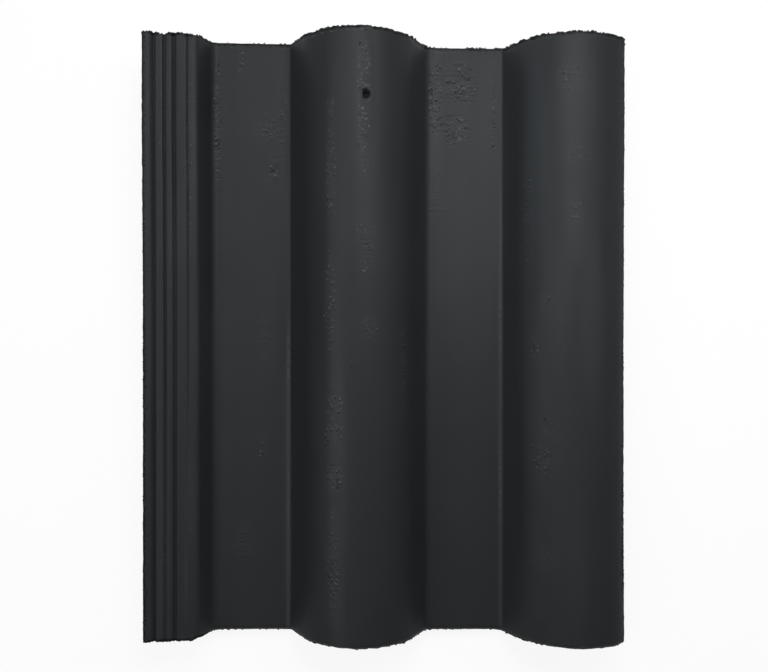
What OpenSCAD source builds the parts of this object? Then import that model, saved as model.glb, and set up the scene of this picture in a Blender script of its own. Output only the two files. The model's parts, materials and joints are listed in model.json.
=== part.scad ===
// Interlocking double-roll roof tile, cast in concrete as one piece.
// The section is drawn in X (across the tile) and Z (off its face, 0 on the
// pans), and runs along Y from the tail edge up to the head edge.

/* [Tile] */
// Length from the tail edge to the furthest corner of the head edge
tile_length = 420; // [380:5:450]
// Thickness of the concrete
shell = 12; // [9:0.5:13]
// Angle by which the head edge is cut out of square
head_skew = 1.2; // [0:0.1:2]

/* [Rolls] */
// Distance between the centre lines of neighbouring rolls
roll_pitch = 150; // [140:1:165]
// Height of a roll above the pans
roll_height = 41; // [36:0.5:46]
// Outer radius of the round crown
crown_radius = 43; // [38:0.5:46]
// Slope of the straight flanks
flank_angle = 60; // [52:1:66]

/* [Pans] */
// Radius in the corner between the underlap's flank and the pan
lap_corner_radius = 5.5; // [3:0.5:9]
// Radius in the corner to the right of a roll
soft_corner_radius = 5; // [2:0.5:8]
// Radius in the corner to the left of a roll
sharp_corner_radius = 1; // [0.5:0.25:4]

/* [Side laps] */
// Width over which two neighbouring tiles lap
lap_width = 30; // [24:1:34]
// From the last roll's centre line to the edge of the overlap lip
lip_reach = 32; // [26:1:36]
// Height of the underlap above the pans at its outer edge
underlap_height = 24; // [20:0.5:26]
// Thickness of the underlap
underlap_shell = 11; // [9:0.5:12]
// Slope of the underlap down towards the pan
underlap_fall = 6; // [2:0.5:8]
// Slope of the flank between the underlap and the pan
underlap_flank_angle = 71; // [60:1:74]
// How far the foot of that flank stands back from a roll's
underlap_setback = 1.4; // [0.5:0.1:2.5]
// Radius of the rounded arris at the top of that flank
underlap_arris_radius = 4.5; // [2:0.5:6]
// Extra height of the underlap's outer rib
rim_height = 1; // [0:0.25:2]
// Width of the underlap's outer rib
rim_width = 6; // [4:0.5:8]
// Gap left between the lip and the underlap below it
lap_clearance = 1; // [0.5:0.25:2]
// Lean of the underlap's outer edge, outwards and down
underlap_lean = 4; // [2:1:14]
// Lean of the overlap lip's edge, outwards and down
lip_lean = 10; // [2:1:14]

/* [Underlap grooves] */
// From the outer edge to the middle of the main water groove
main_groove_setback = 8.1; // [7.5:0.1:9]
// Width of the main water groove
main_groove_width = 4.6; // [3.4:0.2:5.4]
// Depth of the main water groove
main_groove_depth = 3.2; // [2:0.2:4.5]
// From the main groove to the second groove
second_groove_pitch = 7.8; // [7.4:0.1:8.1]
// Width of the second groove
second_groove_width = 3.4; // [2.5:0.1:4]
// From the second groove to the third
third_groove_pitch = 6.4; // [6.2:0.1:6.8]
// Width of the third groove
third_groove_width = 4.4; // [3:0.1:4.5]
// Depth of the second and third grooves
side_groove_depth = 2.6; // [1:0.2:4]
// From the third groove to the shallow drip line
drip_line_pitch = 8.9; // [8:0.1:9.3]
// Width of the drip line
drip_line_width = 2; // [1:0.2:2.8]
// Depth of the drip line
drip_line_depth = 1.3; // [0.5:0.1:2]
// Width of a groove's floor as a share of the width of its mouth
groove_floor_share = 0.1; // [0.1:0.05:0.6]

/* [End edges] */
// How far the worn nose of the tail edge, right of the underlap, reaches back
nose_back = 4; // [2:0.5:8]
// How far the nose drops towards the end
nose_drop = 4; // [2:0.5:6]
// Reach of the small bevel on the head edge
head_bevel = 1.5; // [0.5:0.25:3]

/* [Nail hole] */
// Diameter of the nail hole
nail_hole_d = 6; // [4:0.5:8]
// From the head edge down to the nail hole
nail_setback = 49.5; // [35:0.5:70]
// From the first roll's centre line across to the nail hole
nail_offset = 6; // [-8:0.5:8]

/* [Hanging nibs] */
// From the head edge down to the faces that bear on the batten
nib_setback = 28; // [24:1:34]
// Depth of a nib below the underside
nib_depth = 13; // [8:0.5:18]
// Width of a nib
nib_width = 40; // [24:1:44]
// Length of a nib where it joins the underside
nib_root = 18; // [12:1:22]
// Length of a nib at its tip
nib_tip = 10; // [6:0.5:12]

/* [Hidden] */
$fn = 96;

concrete = "#3c3e40";
far = 60;                       // how far cutting shapes reach past the tile
overrun = 5;                    // how far a cut starts before what it cuts
embed = 1;                      // how far a nib or a corner's filling reaches into the shell
bite = 0.05;                    // how far a rounding sinks into the surfaces it joins
crown_swell = 0.15;             // how far a crown's circle stands out past its flanks
round_steps = 6;                // flats in a rounded corner or arris

cover_width = 2 * roll_pitch;
tile_width = cover_width + lap_width;
side_x = tile_width / 2;
end_y = tile_length / 2;
crown_z = roll_height - crown_radius;
last_roll_x = side_x - lip_reach;
first_roll_x = last_roll_x - roll_pitch;
roll_centres = [first_roll_x, last_roll_x];
// The underlap takes the place of a roll that the neighbouring tile covers
lap_roll_x = first_roll_x - roll_pitch;
lap_foot_x = lap_roll_x + foot_reach(0) - underlap_setback;

second_groove_setback = main_groove_setback + second_groove_pitch;
third_groove_setback = second_groove_setback + third_groove_pitch;

underside_z = -shell;
fall_rate = tan(underlap_fall);
underlap_under_z = underlap_height - underlap_shell / cos(underlap_fall);

nail_x = first_roll_x + nail_offset;
nail_y = end_y - nail_setback;
nib_y = end_y - nib_setback;

// At rest the tile lies on its nibs and on the lower arris of the tail edge
lie_angle = atan2(nib_depth, nib_y + end_y);
pan_start = lap_flank_x(shell, underside_z);
head_corners = [[0, underlap_under_z], [pan_start + side_x, underside_z]];
head_out = max([for (c = head_corners)
    (end_y - c[0] * tan(head_skew)) * cos(lie_angle) - c[1] * sin(lie_angle)]);
tail_out = end_y * cos(lie_angle) + (roll_height - nose_drop) * sin(lie_angle);
lie_shift = [0, (tail_out - head_out) / 2, end_y * sin(lie_angle) + shell * cos(lie_angle)];

// Half width of a roll at height z, measured inset from its outer surface
function flank_reach(inset, z) =
    let (radius = crown_radius - crown_swell - inset)
    radius * sin(flank_angle) + (crown_z + radius * cos(flank_angle) - z) / tan(flank_angle);

// Half width of a roll where its surface meets the pan's surface
function foot_reach(inset) = flank_reach(inset, -inset);

// Height of the underlap's surface at x
function land_z(x) = underlap_height - (x + side_x) * fall_rate;

// Place of the flank beside the underlap at height z, inset into the concrete
function lap_flank_x(inset, z) =
    lap_foot_x - inset / sin(underlap_flank_angle) - z / tan(underlap_flank_angle);

// Where the underlap meets that flank, at a depth below its surface
function land_end(inset) =
    let (rate = tan(underlap_flank_angle),
         x = (lap_flank_x(inset, 0) * rate - land_z(0) + inset / cos(underlap_fall)) / (rate - fall_rate))
    [x, land_z(x) - inset / cos(underlap_fall)];

// Space under a round crown and its two flanks, set into the concrete by inset
module roll_space(inset) {
    radius = crown_radius - inset;
    top = (radius - crown_swell) * sin(flank_angle);
    top_z = crown_z + (radius - crown_swell) * cos(flank_angle);
    base = flank_reach(inset, -far);
    polygon([[-base, -far], [base, -far], [top, top_z], [-top, top_z]]);
    translate([0, crown_z]) circle(radius);
}

// Filling that rounds a pan corner, with the flank on the right
module corner_fill(radius, slope) {
    reach = radius * tan(slope / 2);
    sink = bite * tan(slope / 2);
    translate([sink, -bite])
        polygon([
            [0, -embed],
            for (i = [0 : round_steps])
                let (a = i * slope / round_steps)
                [-reach + radius * sin(a), radius - radius * cos(a)]
        ]);
}

// Space under the underlap's surface, from an outer limit to its flank. The
// surface is inset into the concrete, or raised to leave a gap above it.
module underlap_space(outer_x, inset, raise) {
    lift = raise - inset / cos(underlap_fall);
    radius = max(underlap_arris_radius - inset, 0);
    centre = land_end(inset + radius);
    polygon([
        [outer_x, -far],
        [lap_flank_x(inset, -far), -far],
        for (i = [round_steps : -1 : 0])
            let (a = underlap_fall + i * (underlap_flank_angle - underlap_fall) / round_steps)
            if (radius > 0 || i == 0)
                [centre[0] + radius * sin(a), centre[1] + raise + radius * cos(a)],
        [outer_x, land_z(outer_x) + lift]
    ]);
}

// Space under the raised rib along the underlap's outer edge. Its inner side
// slopes down at 45 degrees into the land.
module rim_space(outer_x, raise) {
    top_x = -side_x + rim_width + raise;
    lift = raise + rim_height;
    fall = 2 * rim_height + embed;
    polygon([
        [outer_x, 0],
        [top_x, 0],
        [top_x + fall, land_z(top_x) + lift - fall],
        [top_x, land_z(top_x) + lift],
        [outer_x, land_z(outer_x) + lift]
    ]);
}

// Tapered water groove along the underlap. Its sides run on upwards past the
// surface, to as high above it as the floor is below.
module groove(setback, width, depth) {
    x = -side_x + setback;
    floor_x = width / 2 * groove_floor_share;
    top_x = width - floor_x;
    translate([x, land_z(x)])
        polygon([[-top_x, depth], [-floor_x, -depth], [floor_x, -depth], [top_x, depth]]);
}

// Everything below the tile's upper surface
module upper_space() {
    difference() {
        union() {
            translate([-side_x - far, -far]) square([2 * (side_x + far), far]);
            for (x = roll_centres) {
                translate([x, 0]) roll_space(0);
                translate([x - foot_reach(0), 0]) corner_fill(sharp_corner_radius, flank_angle);
            }
            underlap_space(-side_x - far, 0, 0);
            rim_space(-side_x - far, 0);
            translate([lap_foot_x, 0]) mirror([1, 0])
                corner_fill(lap_corner_radius, underlap_flank_angle);
            translate([first_roll_x + foot_reach(0), 0]) mirror([1, 0])
                corner_fill(soft_corner_radius, flank_angle);
        }
        groove(main_groove_setback, main_groove_width, main_groove_depth);
        groove(second_groove_setback, second_groove_width, side_groove_depth);
        groove(third_groove_setback, third_groove_width, side_groove_depth);
        groove(third_groove_setback + drip_line_pitch, drip_line_width, drip_line_depth);
    }
}

// Everything below the tile's underside, with room for the next tile's underlap
module lower_space() {
    translate([-side_x - far, -2 * far]) square([2 * (side_x + far), 2 * far - shell]);
    for (x = roll_centres)
        translate([x, 0]) roll_space(shell);
    underlap_space(-side_x - far, underlap_shell, 0);
    translate([cover_width, 0]) {
        underlap_space(-side_x - lap_clearance, 0, lap_clearance);
        rim_space(-side_x - lap_clearance, lap_clearance);
    }
}

// Outline between the two leaning side edges
module between_edges() {
    lip_z = land_z(side_x - cover_width) + lap_clearance;
    left_top = -side_x + (far - underlap_under_z) * tan(underlap_lean);
    left_base = -side_x - (far + underlap_under_z) * tan(underlap_lean);
    right_top = side_x - (far - lip_z) * tan(lip_lean);
    right_base = side_x + (far + lip_z) * tan(lip_lean);
    polygon([[left_base, -far], [right_base, -far], [right_top, far], [left_top, far]]);
}

module section() {
    difference() {
        intersection() {
            upper_space();
            between_edges();
        }
        lower_space();
    }
}

// Extrudes a section along Y, from y = start up to y = stop
module along(start, stop) {
    translate([0, stop, 0]) rotate([90, 0, 0]) linear_extrude(stop - start) children();
}

// Removes the arris of an end edge, from first_x across to the lip. The cut
// follows the upper surface: it starts a distance back from the edge and drops
// evenly on its way to it.
module arris_cut(direction, back, drop, skew, first_x) {
    rate = drop / back;
    start = end_y - back;
    multmatrix([
        [1, 0, 0, 0],
        [0, 1, 0, 0],
        [-rate * tan(skew), -rate * direction, 1, rate * (start - side_x * tan(skew))],
        [0, 0, 0, 1]
    ])
        along(-end_y - far, end_y + far)
            difference() {
                translate([first_x, -shell]) square([side_x + far - first_x, 3 * far]);
                upper_space();
            }
}

module end_cuts() {
    // Tail edge, cut square
    translate([-side_x - far, -end_y - 2 * far, -far]) cube([2 * (side_x + far), 2 * far, 3 * far]);
    // Head edge, cut out of square about its furthest corner
    translate([-side_x, end_y, -far]) rotate([0, 0, -head_skew])
        translate([-far, 0, 0]) cube([2 * (side_x + far), 2 * far, 3 * far]);
}

// Nib that hooks over the batten, upright on the side that bears on it
module nib(x) {
    translate([x - nib_width / 2, nib_y, underside_z])
        rotate([90, 0, 90])
            linear_extrude(nib_width)
                polygon([
                    [0, embed],
                    [nib_root, embed],
                    [nib_root, 0],
                    [nib_tip, -nib_depth],
                    [0, -nib_depth]
                ]);
}

module tile() {
    color(concrete)
        translate(lie_shift) rotate([lie_angle, 0, 0])
            difference() {
                union() {
                    along(-end_y - overrun, end_y + overrun) section();
                    for (x = roll_centres)
                        nib(x - roll_pitch / 2);
                }
                end_cuts();
                arris_cut(-1, nose_back, nose_drop, 0, lap_foot_x);
                arris_cut(1, head_bevel, head_bevel, head_skew, -side_x - far);
                translate([nail_x, nail_y, 0]) cylinder(h = far, d = nail_hole_d);
            }
}

tile();
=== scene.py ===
# Interlocking double-roll concrete roof tile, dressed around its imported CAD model.
import json
import math
import random

import bmesh
import bpy
from mathutils import Matrix, Vector


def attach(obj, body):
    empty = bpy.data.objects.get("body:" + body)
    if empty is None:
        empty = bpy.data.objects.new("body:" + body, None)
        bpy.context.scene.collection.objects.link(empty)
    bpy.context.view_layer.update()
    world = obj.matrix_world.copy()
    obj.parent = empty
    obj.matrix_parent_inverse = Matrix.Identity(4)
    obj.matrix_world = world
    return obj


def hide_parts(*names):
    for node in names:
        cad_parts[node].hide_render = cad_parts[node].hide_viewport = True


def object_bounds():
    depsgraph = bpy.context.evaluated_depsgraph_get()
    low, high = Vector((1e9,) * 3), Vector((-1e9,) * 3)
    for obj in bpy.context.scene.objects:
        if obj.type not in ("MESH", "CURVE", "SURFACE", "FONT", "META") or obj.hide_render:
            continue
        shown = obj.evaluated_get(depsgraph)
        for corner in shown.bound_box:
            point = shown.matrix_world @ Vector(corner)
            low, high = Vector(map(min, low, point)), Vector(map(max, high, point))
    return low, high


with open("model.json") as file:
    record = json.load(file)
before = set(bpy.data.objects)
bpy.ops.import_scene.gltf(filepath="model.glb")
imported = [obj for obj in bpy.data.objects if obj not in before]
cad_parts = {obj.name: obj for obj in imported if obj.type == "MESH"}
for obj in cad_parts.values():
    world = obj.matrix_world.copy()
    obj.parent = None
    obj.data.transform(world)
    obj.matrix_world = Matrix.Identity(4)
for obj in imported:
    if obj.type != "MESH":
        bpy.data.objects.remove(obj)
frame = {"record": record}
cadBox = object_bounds()
print("frame loaded")

mm = 0.001
nailMount = next(m for m in frame["record"]["mounts"] if m["name"] == "nail_hole")


def operator(operation, reflected=False):
    # lets a wire stand in Python arithmetic, by adding a node for it
    def combine(wire, other):
        return wire.flow.math(operation, *((other, wire) if reflected else (wire, other)))
    return combine


class Wire:
    # a node's output socket
    def __init__(self, flow, socket):
        self.flow = flow
        self.socket = socket

    def __abs__(self):
        return self.flow.math("ABSOLUTE", self)

    __add__, __radd__ = operator("ADD"), operator("ADD", True)
    __sub__, __rsub__ = operator("SUBTRACT"), operator("SUBTRACT", True)
    __mul__, __rmul__ = operator("MULTIPLY"), operator("MULTIPLY", True)
    __truediv__, __rtruediv__ = operator("DIVIDE"), operator("DIVIDE", True)
    __pow__ = operator("POWER")
    __gt__ = operator("GREATER_THAN")
    __lt__ = operator("LESS_THAN")


class Flow:
    # a node tree with one short way to add a node
    def __init__(self, tree):
        self.tree = tree

    def node(self, kind, settings=None, **values):
        made = self.tree.nodes.new(kind)
        for name, value in (settings or {}).items():
            setattr(made, name, value)
        for name, value in values.items():
            self.feed(made.inputs[name.replace("_", " ")], value)
        return made

    def feed(self, socket, value):
        if isinstance(value, Wire):
            self.tree.links.new(value.socket, socket)
        else:
            socket.default_value = value

    def out(self, made, name=0):
        return Wire(self, made.outputs[name])

    def isVector(self, value):
        if isinstance(value, Wire):
            return value.socket.type in ("VECTOR", "RGBA")
        return hasattr(value, "__len__")

    def math(self, operation, *values):
        onVectors = any(map(self.isVector, values))
        made = self.node("ShaderNodeVectorMath" if onVectors else "ShaderNodeMath", {"operation": operation})
        for socket, value in zip(made.inputs, values):
            if onVectors and isinstance(value, (int, float)):
                value = (value, value, value)
            self.feed(socket, value)
        return self.out(made)

    def clamp(self, value):
        return self.math("MINIMUM", self.math("MAXIMUM", value, 0.0), 1.0)

    def parts(self, vector):
        made = self.node("ShaderNodeSeparateXYZ", Vector=vector)
        return [self.out(made, axis) for axis in "XYZ"]

    def vector(self, x, y, z):
        return self.out(self.node("ShaderNodeCombineXYZ", X=x, Y=y, Z=z))

    def noise(self, where, scale, detail=2.0, roughness=0.5):
        made = self.node("ShaderNodeTexNoise", Vector=where, Scale=scale, Detail=detail, Roughness=roughness)
        return self.out(made)

    def band(self, value, low, high):
        # 0 below low, 1 above high, eased in between
        made = self.node("ShaderNodeMapRange", {"interpolation_type": "SMOOTHSTEP"},
                         Value=value, From_Min=low, From_Max=high)
        return self.out(made)

    def rising(self, low, share):
        # low where share is 0, and 1 where it is 1
        return low + (1 - low) * share


tileSizes = {  # millimetres
    "length": 420.0,
    "cover": 300.0,
    "lap": 30.0,
    "shell": 12.0,
    "pitch": 150.0,
    "rollHeight": 41.0,
    "crownRadius": 43.0,
    "crownSwell": 0.15,
    "flankAngle": 60.0,
    "lipReach": 32.0,
    "lapCorner": 5.5,
    "softCorner": 5.0,
    "sharpCorner": 1.0,
    "underlapHeight": 24.0,
    "underlapShell": 11.0,
    "underlapFall": 6.0,
    "underlapFlank": 71.0,
    "underlapSetback": 1.4,
    "underlapArris": 4.5,
    "rimHeight": 1.0,
    "rimWidth": 6.9,
    "rimSoftness": 0.5,
    "rimLevel": 3.0,  # how much of the land beside the rim stays level
    # each groove's middle from the outer edge, width, depth, and share of the depth left at the tail
    "grooves": [(8.6, 3.2, 2.7, 1.0), (15.8, 2.9, 2.3, 0.7), (22.3, 3.7, 2.5, 0.9), (31.2, 1.9, 1.1, 0.0)],
    "grooveEase": 1.6,  # how softly a groove's sides roll over into its mouth
    "grooveApart": 0.3,  # least level between a groove and what comes before it
    "lapClearance": 1.0,
    "underlapLean": 4.0,
    "lipLean": 10.0,
    "headSkew": 1.2,
    "noseBack": 4.0,
    "noseDrop": 4.0,
    "headBevel": 1.5,
    "nailHole": 6.0,
    "nailSetback": 49.5,
    "nailOffset": 6.0,
    "nibSetback": 28.0,
    "nibDepth": 13.0,
    "nibWidth": 40.0,
    "nibRoot": 18.0,
    "nibTip": 10.0,
    "nibRounding": 1.2,
}
spacing = {  # millimetres between points of the mesh
    "land": 0.95,
    "flank": 2.6,
    "pan": 2.8,
    "corner": 0.8,
    "crown": 2.6,
    "nail": 0.9,
    "end": 0.8,
    "length": 3.1,
    "hollow": 1.0,
    "nailReach": 6.0,  # how far on either side the fine spacing goes
    "endReach": 7.0,
    "grooveSteps": 5,  # points from the edge of a groove to its middle
    "layers": 6,  # points from the underside to the top
}


def tan(degrees):
    return math.tan(math.radians(degrees))


def polar(centre, radius, degrees):
    angle = math.radians(degrees)
    return Vector((centre[0] + radius * math.sin(angle), centre[1] + radius * math.cos(angle)))


class Section:
    # the tile's cross section in millimetres, as matching points of its top and its underside
    def __init__(self, s):
        self.s = s
        self.width = s["cover"] + s["lap"]
        self.side = self.width / 2
        self.last = self.side - s["lipReach"]
        self.first = self.last - s["pitch"]
        self.lapRoll = self.first - s["pitch"]
        self.crownZ = s["rollHeight"] - s["crownRadius"]
        self.lapFoot = self.lapRoll + self.reach(0, 0) - s["underlapSetback"]
        self.fall = tan(s["underlapFall"])
        self.top = []
        self.under = []

    def landZ(self, x):
        return self.s["underlapHeight"] - (x + self.side) * self.fall

    def reach(self, inset, z):
        # half width of a roll at height z, inset into the concrete
        radius = self.s["crownRadius"] - self.s["crownSwell"] - inset
        angle = math.radians(self.s["flankAngle"])
        return radius * math.sin(angle) + (self.crownZ + radius * math.cos(angle) - z) / math.tan(angle)

    def meetAngle(self, inset):
        # angle from the crest at which the crown's circle meets its flank
        radius = self.s["crownRadius"] - inset
        return self.s["flankAngle"] + math.degrees(math.acos(1 - self.s["crownSwell"] / radius))

    def lapFlankX(self, inset, z):
        angle = math.radians(self.s["underlapFlank"])
        return self.lapFoot - inset / math.sin(angle) - z / math.tan(angle)

    def landEnd(self, inset):
        rate = tan(self.s["underlapFlank"])
        drop = inset / math.cos(math.radians(self.s["underlapFall"]))
        x = (self.lapFlankX(inset, 0) * rate - self.landZ(0) + drop) / (rate - self.fall)
        return Vector((x, self.landZ(x) - drop))

    def add(self, topPath, underPath, step):
        # lays points every step along the top path, and as many along the underside
        points = [topPath[0]]
        for a, b in zip(topPath, topPath[1:]):
            count = max(1, round((b - a).length / step))
            points += [a.lerp(b, (i + 1) / count) for i in range(count)]
        lengths = [0.0]
        for a, b in zip(points, points[1:]):
            lengths.append(lengths[-1] + (b - a).length)
        shares = [length / lengths[-1] for length in lengths]
        if self.top:
            points, shares = points[1:], shares[1:]
        self.top += points
        self.under += [along(underPath, share) for share in shares]


def along(path, share):
    # the point at a share of a path's length
    lengths = [(b - a).length for a, b in zip(path, path[1:])]
    left = share * sum(lengths)
    for (a, b), length in zip(zip(path, path[1:]), lengths):
        if left <= length:
            return a.lerp(b, left / length if length else 0.0)
        left -= length
    return path[-1].copy()


def arc(centre, radius, start, stop, step):
    count = max(2, round(abs(math.radians(stop - start)) * radius / step))
    return [polar(centre, radius, start + (stop - start) * i / count) for i in range(count + 1)]


def softened(path, radius):
    # cuts each inner corner of a path back and puts a point on its rounding
    result = [path[0]]
    for a, b, c in zip(path, path[1:], path[2:]):
        cut = min(radius, (a - b).length * 0.45, (c - b).length * 0.45)
        start = b + (a - b).normalized() * cut
        stop = b + (c - b).normalized() * cut
        result += [start, (start + stop + 2 * b) / 4, stop]
    return result + [path[-1]]


def firstAngle(place, reached, step):
    # steps along a curve until its point has reached what it should
    angle = 0.0
    while not reached(place(angle)):
        angle += step
    return angle


def makeSection(s):
    sec = Section(s)
    shell = s["shell"]
    side = sec.side

    # underlap with its rib and grooves
    underZ = s["underlapHeight"] - s["underlapShell"] / math.cos(math.radians(s["underlapFall"]))
    rimZ = s["underlapHeight"] + s["rimHeight"]
    leftTop = Vector((-side + (rimZ - underZ) * tan(s["underlapLean"]), rimZ))
    rimEnd = Vector((-side + s["rimWidth"], 0))
    rimEnd.y = sec.landZ(rimEnd.x) + s["rimHeight"]
    rimFoot = rimEnd + Vector((s["rimHeight"], -s["rimHeight"])) / (1 - sec.fall)
    level = rimFoot.x + s["rimLevel"]
    path = softened([leftTop, rimEnd, rimFoot, Vector((level, sec.landZ(level)))], s["rimSoftness"])
    steps = spacing["grooveSteps"]
    for middle, width, depth, _ in s["grooves"]:
        dip = []
        for i in range(-steps, steps + 1):
            x = -side + middle + width / 2 * i / steps
            dip.append(Vector((x, sec.landZ(x) - depth * (1 - abs(i / steps)) ** s["grooveEase"])))
        while path[-1].x > dip[0].x - s["grooveApart"]:
            path.pop()
        path += dip
    endUnder = sec.landEnd(s["underlapShell"])
    arris = arc(sec.landEnd(s["underlapArris"]), s["underlapArris"], s["underlapFall"], s["underlapFlank"],
                spacing["corner"])
    path.append(arris[0])
    turn = endUnder.lerp(Vector((-side, underZ)), 0.06)
    sec.add(path, [Vector((-side, underZ)), turn], spacing["land"])
    lapCorner = Vector((sec.lapFlankX(shell, -shell), -shell))
    turned = endUnder.lerp(lapCorner, 0.1)
    sec.add(arris, [turn, endUnder, turned], spacing["corner"])

    def panCorner(foot, hand, radius, slope):
        # rounded corner between a flank and the pan, listed from left to right
        middle = (foot + hand * radius * tan(slope / 2), radius)
        turn = 180 + hand * slope
        stops = (turn, 180) if hand > 0 else (180, turn)
        return arc(middle, radius, stops[0], stops[1], spacing["corner"])

    def underCorner(centre, hand, size):
        corner = Vector((centre + hand * sec.reach(shell, -shell), -shell))
        z = size * 0.87 - shell
        upFlank = Vector((centre + hand * sec.reach(shell, z), z))
        onPan = corner + Vector((hand * size, 0))
        return [upFlank, corner, onPan] if hand > 0 else [onPan, corner, upFlank]

    # flank beside the underlap
    soft = panCorner(sec.lapFoot, 1, s["lapCorner"], s["underlapFlank"])
    underSoft = [lapCorner.lerp(endUnder, 0.15), lapCorner, lapCorner + Vector((4.0, 0))]
    sec.add([arris[-1], soft[0]], [turned, underSoft[0]], spacing["flank"])
    sec.add(soft, underSoft, spacing["corner"])
    panStart, underStart = soft[-1], underSoft[-1]

    for centre in (sec.first, sec.last):
        sharp = panCorner(centre - sec.reach(0, 0), -1, s["sharpCorner"], s["flankAngle"])
        underSharp = underCorner(centre, -1, 2.0)
        sec.add([panStart, sharp[0]], [underStart, underSharp[0]], spacing["pan"])
        sec.add(sharp, underSharp, spacing["corner"])
        outer, inner = sec.meetAngle(0), sec.meetAngle(shell)
        middle = (centre, sec.crownZ)
        crownStart = polar(middle, s["crownRadius"], -outer)
        hollowStart = polar(middle, s["crownRadius"] - shell, -inner)
        sec.add([sharp[-1], crownStart], [underSharp[-1], hollowStart], spacing["flank"])
        if centre == sec.first:
            crown = arc(middle, s["crownRadius"], -outer, outer, spacing["crown"])
            hollow = arc(middle, s["crownRadius"] - shell, -inner, inner, spacing["hollow"])
            sec.add(crown, hollow, spacing["crown"])
            soft = panCorner(centre + sec.reach(0, 0), 1, s["softCorner"], s["flankAngle"])
            underSoft = underCorner(centre, 1, 2.5)
            sec.add([crown[-1], soft[0]], [hollow[-1], underSoft[0]], spacing["flank"])
            sec.add(soft, underSoft, spacing["corner"])
            panStart, underStart = soft[-1], underSoft[-1]

    # overlap lip, hollowed to clear the next tile's underlap
    def lipZ(x):
        return sec.landZ(x - s["cover"]) + s["lapClearance"]

    radius = s["crownRadius"] - shell
    stop = firstAngle(lambda angle: polar(middle, radius, angle), lambda p: p.y <= lipZ(p.x), 0.1)
    hollow = arc(middle, radius, -inner, stop, spacing["hollow"]) + [Vector((side, lipZ(side)))]
    edge = firstAngle(lambda angle: polar(middle, s["crownRadius"], angle),
                      lambda p: p.x > side - (p.y - lipZ(side)) * tan(s["lipLean"]), 0.05)
    sec.add(arc(middle, s["crownRadius"], -outer, edge, spacing["crown"]), hollow, spacing["crown"])
    return sec


def refineNail(sec, s):
    # closes the points up around the nail hole
    nailX = sec.first + s["nailOffset"]
    top, under = [sec.top[0]], [sec.under[0]]
    for i in range(1, len(sec.top)):
        a, b = sec.top[i - 1], sec.top[i]
        near = max(abs(a.x - nailX), abs(b.x - nailX)) < spacing["nailReach"] + spacing["crown"]
        count = math.ceil((b - a).length / spacing["nail"]) if near else 1
        top += [a.lerp(b, (k + 1) / count) for k in range(count)]
        under += [sec.under[i - 1].lerp(sec.under[i], (k + 1) / count) for k in range(count)]
    sec.top, sec.under = top, under


def makeStations(s):
    # places along the tile, closer together at the ends and at the nail hole
    half = s["length"] / 2
    nailY = half - s["nailSetback"]
    marks = [(-half, "end"), (-half + spacing["endReach"], "length"),
             (nailY - spacing["nailReach"], "nail"), (nailY + spacing["nailReach"], "length"),
             (half - spacing["endReach"], "end"), (half, None)]
    stations = [-half]
    for (start, kind), (stop, _) in zip(marks, marks[1:]):
        count = max(1, round((stop - start) / spacing[kind]))
        stations += [start + (stop - start) * (i + 1) / count for i in range(count)]
    return stations


section = makeSection(tileSizes)
refineNail(section, tileSizes)
stations = makeStations(tileSizes)
print("section:", len(section.top), "points across,", len(stations), "along")


def nailWallMiddle(s):
    # height of the middle of the nail hole's wall, from its lowest point to its highest
    hollow, radius = s["crownRadius"] - s["shell"], s["nailHole"] / 2
    lowest = math.sqrt(hollow ** 2 - (s["nailOffset"] + radius) ** 2)
    highest = math.sqrt(s["crownRadius"] ** 2 - (s["nailOffset"] - radius) ** 2)
    return section.crownZ + (lowest + highest) / 2


# the tile leans as it lies, and the nail hole says by how much and where
leanAxis = Vector(nailMount["axis"]).normalized()
lean = math.atan2(-leanAxis.y, leanAxis.z)
nailLocal = Vector((section.first + tileSizes["nailOffset"],
                    tileSizes["length"] / 2 - tileSizes["nailSetback"], nailWallMiddle(tileSizes))) * mm
lay = Matrix.Rotation(lean, 4, "X")
lay = Matrix.Translation(Vector(nailMount["pos_m"]) - lay @ nailLocal) @ lay


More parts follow.
